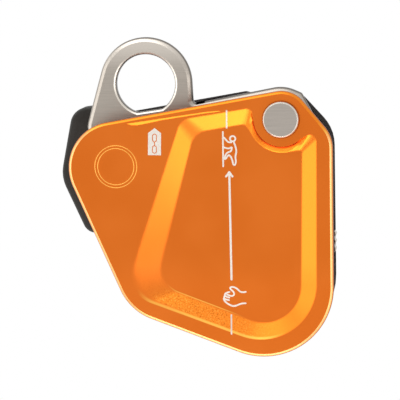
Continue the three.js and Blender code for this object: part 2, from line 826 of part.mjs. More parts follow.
// Steel block that the cam presses the rope against, and its rivets
function brakeBlock() {
  const half = blockWide / 2 - blockRound;
  const outline = [
    { x: blockMiddle.x - half, z: blockBottom + blockRound, r: blockRound },
    { x: blockMiddle.x + half, z: blockBottom + blockRound, r: blockRound },
    { x: blockMiddle.x + half, z: blockTop - blockRound, r: blockRound },
    { x: blockMiddle.x - half, z: blockTop - blockRound, r: blockRound },
  ];
  const holes = blockRivetSpots.map((spot) => pin(
    blockRivet + fixedGap, channelTop - overrun, steelFront + overrun, spot, coarse));
  return cut(slab(outline, channelTop, steelFront, blockBevel), ...holes);
}

function blockRivetPin(spot) {
  return turned([
    [0, channelTop], [blockRivet, channelTop], [blockRivet, steelBack], [blockRivetHead, steelBack],
    [blockRivetHead, steelBack + blockRivetHeadDepth], [0, steelBack + blockRivetHeadDepth],
  ], spot, coarse);
}

function ropeGuide(spot) {
  return turned([
    [0, channelTop], [guideRadius, channelTop], [guideRadius, steelFront], [guideShank, steelFront],
    [guideShank, steelBack], [0, steelBack],
  ], spot);
}

// Side catch: a slider in the housing's wall with a ribbed edge, a post between the plates and a spring
function catchSlider() {
  const block = box(
    catchPostX - catchPost - slideGap, pocketOuter - slideGap, catchY, catchY + catchDeep,
    catchBottom, catchTop);
  const button = box(
    pocketOuter - slideGap - overrun, skirtOuter, buttonFront, catchY + catchDeep,
    catchZ - catchRibPitch - catchRibRadius, catchZ + catchRibPitch + catchRibRadius);
  const ribs = Array.from({ length: catchRibs }, (_, k) => {
    const spot = {
      x: skirtOuter + catchProud - catchRibRadius,
      z: catchZ + (k - (catchRibs - 1) / 2) * catchRibPitch,
    };
    return pin(catchRibRadius, buttonFront, catchY + catchDeep, spot, coarse);
  });
  return join(button, block, ...ribs);
}

function catchPostPin() {
  return pin(catchPost, rimBack + slideGap, catchY, { x: catchPostX, z: catchZ }, coarse);
}

function catchSpring() {
  const steps = catchSpringTurns * springStepsPerTurn;
  const low = pocketBottom + catchSpringWire;
  const high = catchBottom - catchSpringWire;
  const points = [];
  for (let k = 0; k <= steps; k += 1) {
    const angle = (turn * k) / springStepsPerTurn;
    points.push(new THREE.Vector3(
      catchPostX + catchSpringRadius * Math.cos(angle),
      catchY + catchDeep / 2 + catchSpringRadius * Math.sin(angle),
      low + (high - low) * (k / steps)));
  }
  return wire(points, catchSpringWire / 2, springSides);
}

place('eye_plate', eyePlate(), brushed);
place('rear_housing', rearHousing(), nylon);
place('rear_cover', rearCover(), nylon);
screwSpots.forEach((spot, k) => place(`housing_screw_${k + 1}`, housingScrew(spot), brushed));
place('side_plate', sidePlate(), orange);
place('pivot_rivet', pivotRivet(), brushed);
place('pivot_spacer', pivotSpacer(), hardened);
place('plate_bush', plateBush(), bronze);
place('pivot_collar', pivotCollar(), brushed);
place('brake_cam', brakeCam(), hardened);
place('cam_axle', camAxlePin(), hardened);
place('cam_bearing', camBearing(), bronze);
place('cam_arm', camArm(), brushed);
place('cam_clip', camClip(), hardened);
place('cam_stop_pin', camStopPin(), hardened);
place('cam_spring', camSpring(), hardened);
place('spring_post', springPostPin(), hardened);
place('release_lever', releaseLever(), softGrey);
place('lever_bush', leverBush(), bronze);
place('lever_axle', leverAxlePin(), hardened);
place('lever_drive_pin', leverDrivePin(), hardened);
place('brake_block', brakeBlock(), hardened);
blockRivetSpots.forEach((spot, k) => place(`block_rivet_${k + 1}`, blockRivetPin(spot), brushed));
guideSpots.forEach((spot, k) => place(`rope_guide_${k + 1}`, ropeGuide(spot), hardened));
place('catch_slider', catchSlider(), brushed);
place('catch_post', catchPostPin(), hardened);
place('catch_spring', catchSpring(), hardened);

export default device;
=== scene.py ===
import json
import math

import bmesh
import bpy
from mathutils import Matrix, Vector
from mathutils.bvhtree import BVHTree
from mathutils.geometry import delaunay_2d_cdt


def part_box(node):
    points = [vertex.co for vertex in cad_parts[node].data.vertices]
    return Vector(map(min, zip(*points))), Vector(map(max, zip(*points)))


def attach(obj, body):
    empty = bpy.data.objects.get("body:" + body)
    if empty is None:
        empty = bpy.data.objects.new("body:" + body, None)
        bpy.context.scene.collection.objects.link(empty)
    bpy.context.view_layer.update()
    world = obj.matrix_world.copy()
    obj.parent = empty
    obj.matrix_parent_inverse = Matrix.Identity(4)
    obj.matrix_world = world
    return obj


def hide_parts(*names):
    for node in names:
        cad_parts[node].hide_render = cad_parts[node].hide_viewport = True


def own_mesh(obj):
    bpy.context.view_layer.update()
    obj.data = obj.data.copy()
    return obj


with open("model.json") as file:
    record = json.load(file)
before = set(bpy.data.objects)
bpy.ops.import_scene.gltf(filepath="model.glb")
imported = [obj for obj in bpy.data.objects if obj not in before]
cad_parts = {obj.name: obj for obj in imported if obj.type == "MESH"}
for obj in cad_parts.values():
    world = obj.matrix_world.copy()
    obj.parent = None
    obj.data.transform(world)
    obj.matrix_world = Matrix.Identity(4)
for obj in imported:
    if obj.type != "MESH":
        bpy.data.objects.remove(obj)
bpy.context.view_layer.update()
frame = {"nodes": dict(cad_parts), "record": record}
mm = 0.001
turn = 2 * math.pi
print("frame loaded")


# Outlines round circles, (x, z, radius) in millimetres, seen from the front

def bends(circles):  # start angle and sweep of each bend; a negative radius bends inward
    normals = []
    for i, (x, z, r) in enumerate(circles):
        nx, nz, nr = circles[(i + 1) % len(circles)]
        reach = math.hypot(nx - x, nz - z)
        normals.append(math.atan2(nz - z, nx - x) - math.acos((r - nr) / reach))
    found = []
    for i, (x, z, r) in enumerate(circles):
        start = normals[i - 1]
        sweep = (normals[i] - start) % turn - (turn if r < 0 else 0)
        found.append((x, z, r, start, sweep))
    return found


def onBend(bend, k=0, count=1):  # the point after k of count steps
    x, z, radius, start, sweep = bend
    angle = start + sweep * k / count
    return x + radius * math.cos(angle), z + radius * math.sin(angle)


def belts(family, bendStep=3, straightStep=3):  # matching outlines; steps in degrees and in millimetres
    sets = [bends(circles) for circles in family]
    size = len(sets[0])
    counts = [max(2, *(math.ceil(abs(math.degrees(one[i][4])) / bendStep) for one in sets))
              for i in range(size)]
    starts = [[onBend(bend) for bend in one] for one in sets]
    ends = [[onBend(bend, 1) for bend in one] for one in sets]
    longest = [max(math.dist(end[i], start[(i + 1) % size]) for end, start in zip(ends, starts))
               for i in range(size)]
    outlines = []
    for one, end, start in zip(sets, ends, starts):
        points = []
        for i, bend in enumerate(one):
            points += [onBend(bend, k, counts[i]) for k in range(counts[i] + 1)]
            pieces = max(1, math.ceil(longest[i] / straightStep))
            points += [blend(end[i], start[(i + 1) % size], k / pieces) for k in range(1, pieces)]
        outlines.append(points)
    return outlines


def blend(first, second, share):
    return tuple(a + (b - a) * share for a, b in zip(first, second))


def grown(circles, amount):
    return [(x, z, r + amount) for x, z, r in circles]


def between(first, second, share):
    return [blend(one, other, share) for one, other in zip(first, second)]


def circle(x, z, radius, count=72):
    return [(x + radius * math.cos(turn * k / count), z + radius * math.sin(turn * k / count))
            for k in range(count)]


def dense(points, step):
    found = []
    for a, b in zip(points, points[1:]):
        pieces = max(1, math.ceil(math.dist(a, b) / step))
        found += [blend(a, b, k / pieces) for k in range(pieces)]
    return found + [points[-1]]


def bowed(loop, inward, bow=0.02, straight=1e-7):  # straights bent a hair, so that no sliver is cut off
    size = len(loop)
    area = sum(a[0] * b[1] - a[1] * b[0] for a, b in zip(loop, loop[1:] + loop[:1]))
    side = math.copysign(bow, area) * (1 if inward else -1)
    corners = []
    for i, (x, z) in enumerate(loop):
        (ax, az), (bx, bz) = loop[i - 1], loop[(i + 1) % size]
        if abs((x - ax) * (bz - z) - (z - az) * (bx - x)) > straight:
            corners.append(i)
    made = list(loop)
    for i, k in zip(corners, corners[1:] + [corners[0] + size]):
        (ax, az), (bx, bz) = loop[i], loop[k % size]
        reach = math.dist((ax, az), (bx, bz))
        for j in range(i + 1, k):
            x, z = loop[j % size]
            share = math.dist((ax, az), (x, z)) / reach
            push = side * 4 * share * (1 - share) / reach
            made[j % size] = (x - (bz - az) * push, z + (bx - ax) * push)
    return made


def inside(point, loops):  # even-odd rule
    hit = False
    x, z = point
    for loop in loops:
        for (ax, az), (bx, bz) in zip(loop, loop[1:] + loop[:1]):
            if (az > z) != (bz > z) and x < ax + (bx - ax) * (z - az) / (bz - az):
                hit = not hit
    return hit


def gridded(loops, pitch, lines=()):  # points inside loops, clear of every line
    xs, zs = zip(*loops[0])
    borders = [loop + loop[:1] for loop in loops] + list(lines)
    kept = [p for line in borders for p in dense(line, pitch / 2)]
    found = []
    for row in range(math.ceil((max(zs) - min(zs)) / pitch)):
        for column in range(math.ceil((max(xs) - min(xs)) / pitch)):
            spot = (min(xs) + pitch * (column + 0.5 * (row % 2)), min(zs) + pitch * (row + 0.5))
            if inside(spot, loops) and min(math.dist(spot, p) for p in kept) > pitch / 2:
                found.append(spot)
    return found


def triangulated(points, edges, nearness=1e-6):  # points, triangles, and the numbers each point had
    spots = [Vector(p) for p in points]
    made, _, triangles, origins, _, _ = delaunay_2d_cdt(spots, edges, [], 0, nearness)
    return made, triangles, origins


def smooth(value, low, high):
    t = min(1, max(0, (value - low) / (high - low)))
    return t * t * (3 - 2 * t)


def along(table, x):  # a value read between the pairs of a table
    for (ax, a), (bx, b) in zip(table, table[1:]):
        if x <= bx:
            return a + (b - a) * max(0, (x - ax) / (bx - ax))
    return table[-1][1]


def softened(profile, radius, most=0.45):  # an open profile with its inner corners rounded off
    points = [profile[0]]
    for before, corner, after in zip(profile, profile[1:], profile[2:]):
        first = blend(corner, before, min(most, radius / math.dist(corner, before)))
        last = blend(corner, after, min(most, radius / math.dist(corner, after)))
        points += [first, blend(blend(first, last, 0.5), corner, 0.5), last]
    return points + [profile[-1]]


# Meshes and pieces

class Shell:  # a closed mesh put together from rings of points
    def __init__(self):
        self.points = []
        self.faces = []
        self.worn = {}  # how much painted highlight a point gets

    def ring(self, outline, depth):  # depth is a number, or a function of x and z
        first = len(self.points)
        for x, z in outline:
            self.points.append((x, depth(x, z) if callable(depth) else depth, z))
        return list(range(first, len(self.points)))

    def front(self, ring):  # its points as seen from the front
        return [(self.points[i][0], self.points[i][2]) for i in ring]

    def wall(self, near, far):
        for i in range(len(near)):
            k = (i + 1) % len(near)
            self.faces.append((near[i], far[i], far[k], near[k]))

    def walls(self, rings):
        for near, far in zip(rings, rings[1:]):
            self.wall(near, far)

    def flat(self, rings, depth=None, pitch=None, back=False, lines=()):  # a face between rings
        order = {}
        for loop in [*rings, *lines]:
            for i in loop:
                order.setdefault(i, len(order))
        edges = [(order[a], order[b]) for ring in rings for a, b in zip(ring, ring[1:] + ring[:1])]
        edges += [(order[a], order[b]) for line in lines for a, b in zip(line, line[1:])]
        loops = [self.front(ring) for ring in rings]
        if pitch:
            for i in self.ring(gridded(loops, pitch, [self.front(line) for line in lines]), depth):
                order[i] = len(order)
        names = list(order)
        flatPoints = self.front(names)
        loops = [bowed(loop, k == 0) for k, loop in enumerate(loops)]
        for ring, loop in zip(rings, loops):
            for i, point in zip(ring, loop):
                flatPoints[order[i]] = point
        made, triangles, origins = triangulated(flatPoints, edges)
        for triangle in triangles:
            if inside(sum((made[i] for i in triangle), Vector((0, 0))) / 3, loops):
                face = [names[origins[i][0]] for i in triangle]
                self.faces.append(face[::-1] if back else face)

    def mesh(self, name):
        made = bpy.data.meshes.new(name)
        made.from_pydata([(x * mm, y * mm, z * mm) for x, y, z in self.points], [], self.faces)
        return made

    def piece(self, name, finish, body, sharp=30, replaced=(), slot=None):
        mesh = self.mesh(name)
        if self.worn:
            values = mesh.attributes.new("worn", "FLOAT", "POINT").data
            for i, value in self.worn.items():
                values[i].value = value
        return settle(name, mesh, finish, body, sharp, replaced)


def reshape(mesh, *steps):
    work = bmesh.new()
    work.from_mesh(mesh)
    for step in steps:
        step(work)
    work.to_mesh(mesh)
    work.free()


def joined(work):
    bmesh.ops.remove_doubles(work, verts=work.verts, dist=1e-7)


def outward(work):
    bmesh.ops.recalc_face_normals(work, faces=work.faces)


def flattened(work):  # faces within half a degree of each other become one
    bmesh.ops.dissolve_limit(work, angle_limit=math.radians(0.5), verts=work.verts, edges=work.edges)


def linked(name, data):
    obj = bpy.data.objects.new(name, data)
    bpy.context.scene.collection.objects.link(obj)
    return obj


def settle(name, mesh, finish, body, sharp, replaced):  # a mesh made a finished piece of a body
    reshape(mesh, joined, outward)
    mesh.shade_smooth()
    mesh.set_sharp_from_angle(angle=math.radians(sharp))
    obj = linked(name, mesh)
    mesh.materials.clear()
    mesh.materials.append(finish)
    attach(obj, body)
    if replaced:
        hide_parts(*replaced)
    return obj


def middle(node):  # centre of a node seen from the front, in millimetres
    low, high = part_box(node)
    return (low[0] + high[0]) / 2 / mm, (low[2] + high[2]) / 2 / mm


# Shader maths

class Sock:  # one value in a shader, so that maths reads as an expression
    def __init__(self, nodes, link):
        self.nodes = nodes
        self.link = link

    def maths(self, operation, *values):
        return self.nodes.node("ShaderNodeMath", {"operation": operation}, dict(enumerate(values)))

    def __add__(self, other):
        return self.maths("ADD", self, other)

    def __radd__(self, other):
        return self.maths("ADD", other, self)

    def __sub__(self, other):
        return self.maths("SUBTRACT", self, other)

    def __rsub__(self, other):
        return self.maths("SUBTRACT", other, self)

    def __mul__(self, other):
        return self.maths("MULTIPLY", self, other)

    def __rmul__(self, other):
        return self.maths("MULTIPLY", other, self)

    def __abs__(self):
        return self.maths("ABSOLUTE", self)

    def most(self, other):
        return self.maths("MAXIMUM", self, other)


class Nodes:  # the nodes of a material or a world
    def __init__(self, owner):
        owner.use_nodes = True
        self.tree = owner.node_tree

    def node(self, kind, settings=None, sockets=None, output=0):
        node = self.tree.nodes.new(kind)
        for key, value in (settings or {}).items():
            setattr(node, key, value)
        for key, value in (sockets or {}).items():
            self.put(node.inputs[key], value)
        return Sock(self, node.outputs[output])

    def put(self, socket, value):
        if isinstance(value, Sock):
            self.tree.links.new(value.link, socket)
        elif socket.type == "RGBA":
            socket.default_value = (*value, 1)
        else:
            socket.default_value = value

    def seen(self):  # by the camera, in a mirror or through glass, and not the light that falls on things
        camera, mirror, glass = [self.node("ShaderNodeLightPath", output=f"Is {ray} Ray")
                                 for ray in ("Camera", "Glossy", "Transmission")]
        return camera.most(mirror).most(glass)


class Finish(Nodes):  # a material and what its nodes are made with
    def __init__(self, name):
        self.material = bpy.data.materials.new(name)
        super().__init__(self.material)
        self.shader = self.tree.nodes["Principled BSDF"]

    def set(self, sockets):
        for name, value in sockets.items():
            self.put(self.shader.inputs[name], value)

    def place(self):  # where a point is on its piece, in metres
        return self.node("ShaderNodeTexCoord", output="Object")

    def apart(self, vector, axis):
        return self.node("ShaderNodeSeparateXYZ", {}, {"Vector": vector}, axis)

    def normal(self):
        return self.node("ShaderNodeNewGeometry", output="Normal")

    def facing(self):  # 1 on faces straight to the front or back, 0 on walls
        return abs(self.apart(self.normal(), "Y"))

    def stretched(self, scale, turned):
        return self.node("ShaderNodeMapping", {}, {
            "Vector": self.place(), "Rotation": turned, "Scale": scale})

    def noise(self, vector, scale, detail, roughness):
        return self.node("ShaderNodeTexNoise", {}, {
            "Vector": vector, "Scale": scale, "Detail": detail, "Roughness": roughness})

    def mix(self, factor, first, second):  # of two colours, which are sockets 6 and 7
        return self.node("ShaderNodeMix", {"data_type": "RGBA"}, {0: factor, 6: first, 7: second}, 2)

    def spread(self, value, low, high):  # a range of a value made 0 to 1
        return self.node("ShaderNodeMapRange", {"interpolation_type": "SMOOTHSTEP"}, {
            "Value": value, "From Min": low, "From Max": high})

    def bump(self, height, distance):
        return self.node("ShaderNodeBump", {}, {"Height": height, "Distance": distance, "Strength": 1.0})


def varied(value, noise, span):  # a value with a noise round it
    return value + (noise - 0.5) * span


# Finishes: a noise is its scale, detail and roughness, and a pair is the range over which a colour comes in

anodised = {
    "colour": (0.71, 0.165, 0.0205), "deep": (0.67, 0.148, 0.016), "clouds": (0.3, 0.7),
    # painted highlight: a paler colour on the pressed slopes
    "slope": (0.80, 0.235, 0.020), "highlitSlopes": (0.97, 0.85),
    "side": (0.32, 0.066, 0.009), "walls": (0.46, 0.34),  # painted shade on the steep edge walls
    "gold": (0.87, 0.42, 0.07), "golden": (0.52, 0.70),  # specks on the slopes, low down and at left
    "pit": (0.36, 0.07, 0.008), "pitted": (0.48, 0.28), "low": (-0.053, -0.064), "left": (0.050, 0.022),
    "edge": (0.88, 0.44, 0.17), "rub": (0.7, 0.6),  # painted highlight on bevels, slope lines and groove bottoms: its least share, and what the clouds add
    "roughness": 0.34, "roughSpan": 0.08, "roughLow": 0.06,
    "grain": (2400, 2, 0.6), "cloud": (45, 2, 0.5), "grainDepth": 0.000026, "grainLeast": 0.25,
}


def anodisedFinish():
    look = anodised
    made = Finish("orangeAnodised")
    place = made.place()
    facing = made.facing()
    grain = made.noise(place, *look["grain"])
    cloud = made.noise(place, *look["cloud"])
    low = made.spread(made.apart(place, "Z"), *look["low"])
    left = made.spread(made.apart(place, "X"), *look["left"])
    plain = made.mix(made.spread(cloud, *look["clouds"]), look["colour"], look["deep"])
    specks = made.mix(made.spread(grain, *look["golden"]) * low * left, look["slope"], look["gold"])
    specks = made.mix(made.spread(grain, *look["pitted"]) * low * left, specks, look["pit"])
    # painted highlight: the paler slope colour where the face turns from the front
    shade = made.mix(made.spread(facing, *look["highlitSlopes"]), plain, specks)
    # painted shade: a dark colour on the steep walls
    shade = made.mix(made.spread(facing, *look["walls"]), shade, look["side"])
    worn = made.node("ShaderNodeAttribute", {"attribute_name": "worn"}, output="Fac")
    least, more = look["rub"]
    paintedGleam = worn * (least + cloud * more)
    shade = made.mix(paintedGleam * 2, shade, look["gold"])  # painted highlight: to gold first, and then to the pale edge colour
    shade = made.mix(paintedGleam * 2 - 1, shade, look["edge"])
    least = look["grainLeast"]
    made.set({"Base Color": shade, "Metallic": 1.0,
              "Roughness": varied(look["roughness"], grain, look["roughSpan"]) + low * look["roughLow"],
              "Normal": made.bump(grain * (least + (1 - least) * low), look["grainDepth"])})
    return made.material


steelLook = {
    "colour": (0.43, 0.387, 0.338), "dark": 0.88, "tones": (0.25, 0.75),
    "bright": (0.60, 0.55, 0.49), "rises": (0.003, 0.013),  # painted highlight: the top of the eye is brighter
    # painted highlight: a pale colour on bevels that face nearly to the front
    "edge": (0.66, 0.61, 0.54), "bevelled": (0.985, 0.93),
    "side": (0.13, 0.113, 0.097), "steep": (0.62, 0.42),  # painted shade: steep faces in the eye, or up and right
    "eyeArea": (0.00011, 0.00013), "upRight": (-0.3, 0.3),
    "roughness": 0.34, "roughSpan": 0.12, "stretch": (60, 900, 2400), "streaks": (1.0, 4, 0.6),
    "fine": (1800, 2, 0.5), "fineShare": 0.3, "streakDepth": 0.000010,
}


# painted highlight: a pale colour on bevels that face nearly to the front
def bevelHighlight(made, shade):
    return made.mix(made.spread(made.facing(), *steelLook["bevelled"]), shade, steelLook["edge"])


def eyePaintedLight(made, shade):  # painted light: a brighter top, pale bevels and shaded steep faces; the eye's middle is the frame's origin
    look = steelLook
    place = made.place()
    normal = made.normal()
    facing = made.facing()
    across = made.apart(place, "X")
    up = made.apart(place, "Z")
    away = made.spread(made.apart(normal, "X") + made.apart(normal, "Z"), *look["upRight"])
    within = 1 - made.spread(across * across + up * up, *look["eyeArea"])
    # painted highlight towards the top, painted highlight on bevels in the eye, painted shade on steep
    # faces
    shade = made.mix(made.spread(up, *look["rises"]), shade, look["bright"])
    shade = made.mix(made.spread(facing, *look["bevelled"]) * within, shade, look["edge"])
    return made.mix(made.spread(facing, *look["steep"]) * away.most(within), shade, look["side"])


def steelFinish(name, colour, roughness=steelLook["roughness"], turned=(0, 0, 0), paintedLight=None):
    look = steelLook
    made = Finish(name)
    streaks = made.noise(made.stretched(look["stretch"], turned), *look["streaks"])
    fine = made.noise(made.place(), *look["fine"])
    dark = tuple(c * look["dark"] for c in colour)
    shade = made.mix(made.spread(streaks, *look["tones"]), dark, colour)
    if paintedLight:
        shade = paintedLight(made, shade)
    made.set({"Base Color": shade, "Metallic": 1.0,
              "Roughness": varied(roughness, streaks, look["roughSpan"]),
              "Normal": made.bump(streaks + fine * look["fineShare"], look["streakDepth"])})
    return made.material


plasticLook = {
    "pebbles": (3, 0.55), "cloud": (90, 2, 0.5), "clouds": (0.35, 0.7), "lighter": 1.25, "lift": 0.002,
    "rims": (0.8, 0.4), "roughSpan": 0.12,
}


def plasticFinish(name, colour, roughness, specular, grain, depth, rim=None):
    look = plasticLook
    made = Finish(name)
    place = made.place()
    pebble = made.noise(place, grain, *look["pebbles"])
    lighter = tuple(c * look["lighter"] + look["lift"] for c in colour)
    shade = made.mix(made.spread(made.noise(place, *look["cloud"]), *look["clouds"]), colour, lighter)
    # painted highlight: a lighter colour on faces that turn from the front
    if rim:
        shade = made.mix(made.spread(made.facing(), *look["rims"]), shade, rim)
    made.set({"Base Color": shade, "Roughness": varied(roughness, pebble, look["roughSpan"]),
              "Specular IOR Level": specular, "Normal": made.bump(pebble, depth)})
    return made.material


printLook = {
    "colour": (0.95, 0.88, 0.79), "faded": (0.91, 0.83, 0.74), "speck": (2500, 2, 0.6),
    "specks": (0.3, 0.7), "roughness": 0.5, "roughSpan": 0.1, "depth": 0.00001,
}


def printFinish():
    look = printLook
    made = Finish("whitePrint")
    speck = made.noise(made.place(), *look["speck"])
    made.set({"Base Color": made.mix(made.spread(speck, *look["specks"]), look["colour"], look["faded"]),
              "Roughness": varied(look["roughness"], speck, look["roughSpan"]),
              "Normal": made.bump(speck, look["depth"])})
    return made.material


orangeAluminium = anodisedFinish()
brushedSteel = steelFinish("brushedSteel", steelLook["colour"], paintedLight=eyePaintedLight)
satinSteel = steelFinish("satinSteel", (0.56, 0.51, 0.45))
rivetSteel = steelFinish("rivetSteel", (0.43, 0.387, 0.344), paintedLight=bevelHighlight)
hardSteel = steelFinish("hardenedSteel", (0.30, 0.29, 0.28), roughness=0.38, turned=(0, 0, 0.8))
bronze = steelFinish("bronze", (0.45, 0.27, 0.10), roughness=0.4, turned=(0.3, 0, 0))
blackNylon = plasticFinish("blackNylon", (0.014, 0.010, 0.009), roughness=0.7, specular=0.01,
                           grain=1500, depth=0.00002)
gripGrey = plasticFinish("gripGrey", (0.036, 0.032, 0.028), roughness=0.6, specular=0.15,
                         grain=1100, depth=0.00003, rim=(0.085, 0.084, 0.078))
whitePrint = printFinish()
print("finishes made")

# Side plate: sheet with a bevelled edge, a pressed panel, a fold along the top and engraved rings

sidePlate = {
    "outline": [(9.51, -57.1, 17.2), (39.1, -62.4, 22.3), (50.5, -18.8, 10.35), (44.7, -9.7, 8.85),
                (-7.9, -25.5, 14.55)],
    "slopeTop": [(6.4, -59.5, 9.4), (38.26, -61.37, 18.15), (54.1, -16.1, 2), (44.7, -9.7, -8.5),
                 (34.1, -7.6, 1.5), (16.45, -13.7, 4.5)],
    "slopeFoot": [(15.1, -57.35, 7.9), (39.08, -62.19, 11.55), (49.88, -20.9, 0.9), (44.7, -9.7, -10.8),
                  (32.1, -14, 2), (22.5, -20.25, 6.4)],
    "shares": [0, 0.02, 0.045, 0.08, 0.14, 0.22, 0.32, 0.45, 0.6, 0.75, 0.87, 0.93, 0.965, 0.985, 1],
    "front": -17.8, "press": 2.8, "sheet": 2.2, "support": 0.12, "sharp": 24,
    "pitch": (1.2, 3.0),  # of the points on the front and on the back
    "frontEdge": [(0.9, 0), (0.28, 0.36), (0, 1.02)],  # inset and depth: a wide and a narrow steep facet
    "backEdge": [(0.4, 0), (0.12, 0.12), (0, 0.4)], "edgeRound": 0.12,
    "pivot": (44.7, -9.7), "bore": 4.45, "boreRound": 0.25,
    "seat": 5.9, "seatDeep": 0.35, "seatSlope": 0.08,
    "grooves": (6.65, 5.75), "grooveCentre": (-7.35, -25.05), "grooveHalf": 0.16, "grooveDeep": 0.06,
    "grooveSteps": 96,
    "topRound": (0.08, 0.2), "roundLow": (-52, -66), "roundLeft": (22, 4), "footRound": 0.09,
    "knee": (0.24, 0.55), "kneeEarly": 0.12, "kneeLate": 0.2, "bite": (8.75, 9.6),
    "highlightLoops": slice(2, 6), "highlightTop": (-16, -11),  # the edge's painted highlight is less bright towards the top
    "grooveHighlight": 0.8, "pressHighlight": 0.5, "highlightLow": (-60, -64),
    "highlightRings": {  # painted highlight lines on the slope, from left to right: where they start, are whole, ebb and end
        4: (-1, 5, 38, 47), 5: (-1, 5, 38, 47), 13: (8, 13, 24, 34), 14: (8, 13, 24, 34)},
}
fold = {  # a small step along the top: the face below it starts a little deeper
    "line": [(-3.8, -11.5), (21, -7.6), (31, -6.63)],
    "wide": [(-3.8, 0.02), (-2.2, 0.7), (-0.5, 0.95), (3, 0.8), (7, 0.5), (12, 0.42), (22, 0.35),
             (31, 0.02)],
    "slope": 0.5, "fades": 10, "step": 0.8, "gap": 0.3,
}


def easing(share, early, late):  # from 0 to 1, with rounds of the given shares of the way at the ends
    area = 1 - early / 2 - late / 2
    if share < early:
        return share * share / (2 * early) / area
    if late and share > 1 - late:
        return 1 - (1 - share) ** 2 / (2 * late) / area
    return (share - early / 2) / area


def dip(x, z):  # how far the face lies below the rim
    start, end = fold["line"][0][0], fold["line"][-1][0]
    under = along(fold["line"], x) - z
    if under <= 0 or x <= start or x >= end:
        return 0
    wide = along(fold["wide"], x)
    return fold["slope"] * wide * min(1, under / wide) * (1 - smooth(under, wide, wide + fold["fades"]))


def kneed(share):  # steep first, then easy: the slope round the pivot
    data = sidePlate
    reach, deep = data["knee"]
    if share < reach:
        return deep * easing(share / reach, data["kneeEarly"], 0)
    return deep + (1 - deep) * easing((share - reach) / (1 - reach), 0, data["kneeLate"])


def topSoftness(x, z):  # the slope's upper round is wide at the lower left
    least, more = sidePlate["topRound"]
    return least + more * smooth(z, *sidePlate["roundLow"]) * smooth(x, *sidePlate["roundLeft"])


def slopeHighlight(k, x, z):  # painted highlight along the low side only
    start, whole, ebbs, end = sidePlate["highlightRings"][k]
    low = smooth(z, *sidePlate["highlightLow"]) * smooth(x, start, whole) * (1 - smooth(x, ebbs, end))
    return sidePlate["pressHighlight"] * low


def pressRings(shell, outlines, offset):
    data = sidePlate
    rings = []
    for k, outline in enumerate(outlines):
        share = data["shares"][min(max(k - 1, 0), len(data["shares"]) - 1)]
        ring = shell.ring(outline, 0)
        for i, (x, z), (ox, oz) in zip(ring, outline, outlines[1]):
            high = data["front"] + (dip(x, z) if k == 0 else dip(ox, oz))
            low = data["front"] + data["press"]
            plain = easing(share, topSoftness(ox, oz), data["footRound"])
            bite = 1 - smooth(math.dist(data["pivot"], (ox, oz)), *data["bite"])
            depth = high + (low - high) * (plain + (kneed(share) - plain) * bite)
            shell.points[i] = (x, depth + offset, z)
            # painted highlight lines along the slope's low side
            if k in data["highlightRings"]:
                shell.worn[i] = slopeHighlight(k, x, z)
        rings.append(ring)
    return rings


def foldLines(shell, ring, face):  # two creases that end on the press's outer ring
    lines = []
    start, end = fold["line"][0][0], fold["line"][-1][0]
    count = math.ceil((end - start) / fold["step"])
    outline = shell.front(ring)
    for below in (0, 1):
        points = []
        for k in range(count):
            x = start + (end - start) * k / count
            z = along(fold["line"], x) - below * along(fold["wide"], x)
            if not inside((x, z - fold["wide"][-1][1]), [outline]):
                points.append((x, z))
        tail = points[-1]
        last = min(range(len(ring)), key=lambda k: math.dist(tail, outline[k]))
        while len(points) > 1 and math.dist(points[-1], outline[last]) < fold["gap"]:
            points.pop()
        line = shell.ring(points[below:], lambda x, z: face + dip(x, z))
        lines.append((lines[0][:1] if below else []) + line + [ring[last]])
    return lines


def engrave(shell, face):  # two round grooves; gives the outer ring, for the face to end at
    data = sidePlate
    rings = []
    for radius in data["grooves"]:
        for out, deep in ((1, 0), (0, data["grooveDeep"]), (-1, 0)):
            outline = circle(*data["grooveCentre"], radius + out * data["grooveHalf"], data["grooveSteps"])
            rings.append(shell.ring(outline, lambda x, z: face + dip(x, z) + deep))
            if deep:
                # painted highlight in the groove bottoms
                shell.worn.update((i, data["grooveHighlight"]) for i in rings[-1])
    outer, inner = rings[:3], rings[3:]
    shell.walls(outer)
    shell.walls(inner)
    shell.flat([outer[-1], inner[0]])
    shell.flat([inner[-1]], lambda x, z: face + dip(x, z), data["pitch"][0])
    return outer[0]


def plateEdge(shell, face, middleDepth, back):  # its first ring is the face's border
    data = sidePlate
    sign = -1 if back else 1
    edge = data["backEdge" if back else "frontEdge"]
    profile = [(edge[0][0] + data["support"], face)] + [(inset, face + sign * deep) for inset, deep in edge]
    profile = softened(profile + [(0, middleDepth)], data["edgeRound"])
    outlines = belts([grown(data["outline"], -inset) for inset, _ in profile])
    rings = [shell.ring(outline, depth) for outline, (_, depth) in zip(outlines, profile)]
    shell.walls(rings)
    if not back:
        # painted highlight on the front bevel
        worn = [i for ring in rings[data["highlightLoops"]] for i in ring]
        shell.worn.update((i, 1 - smooth(shell.points[i][2], *data["highlightTop"])) for i in worn)
    return rings[0]


def plateBore(shell, face, middleDepth, back):
    data = sidePlate
    sign = -1 if back else 1
    bore, bevel = data["bore"], data["boreRound"]
    floor = face if back else face + data["seatDeep"]  # the rivet's head sits in a shallow seat
    profile = [(bore + bevel, floor), (bore + bevel / 3, floor + sign * bevel / 3),
               (bore, floor + sign * bevel), (bore, middleDepth)]
    if not back:
        profile = [(data["seat"], face), (data["seat"] - data["seatSlope"], floor)] + profile
    rings = [shell.ring(circle(*data["pivot"], radius), depth) for radius, depth in profile]
    shell.walls(rings)
    return rings[0]


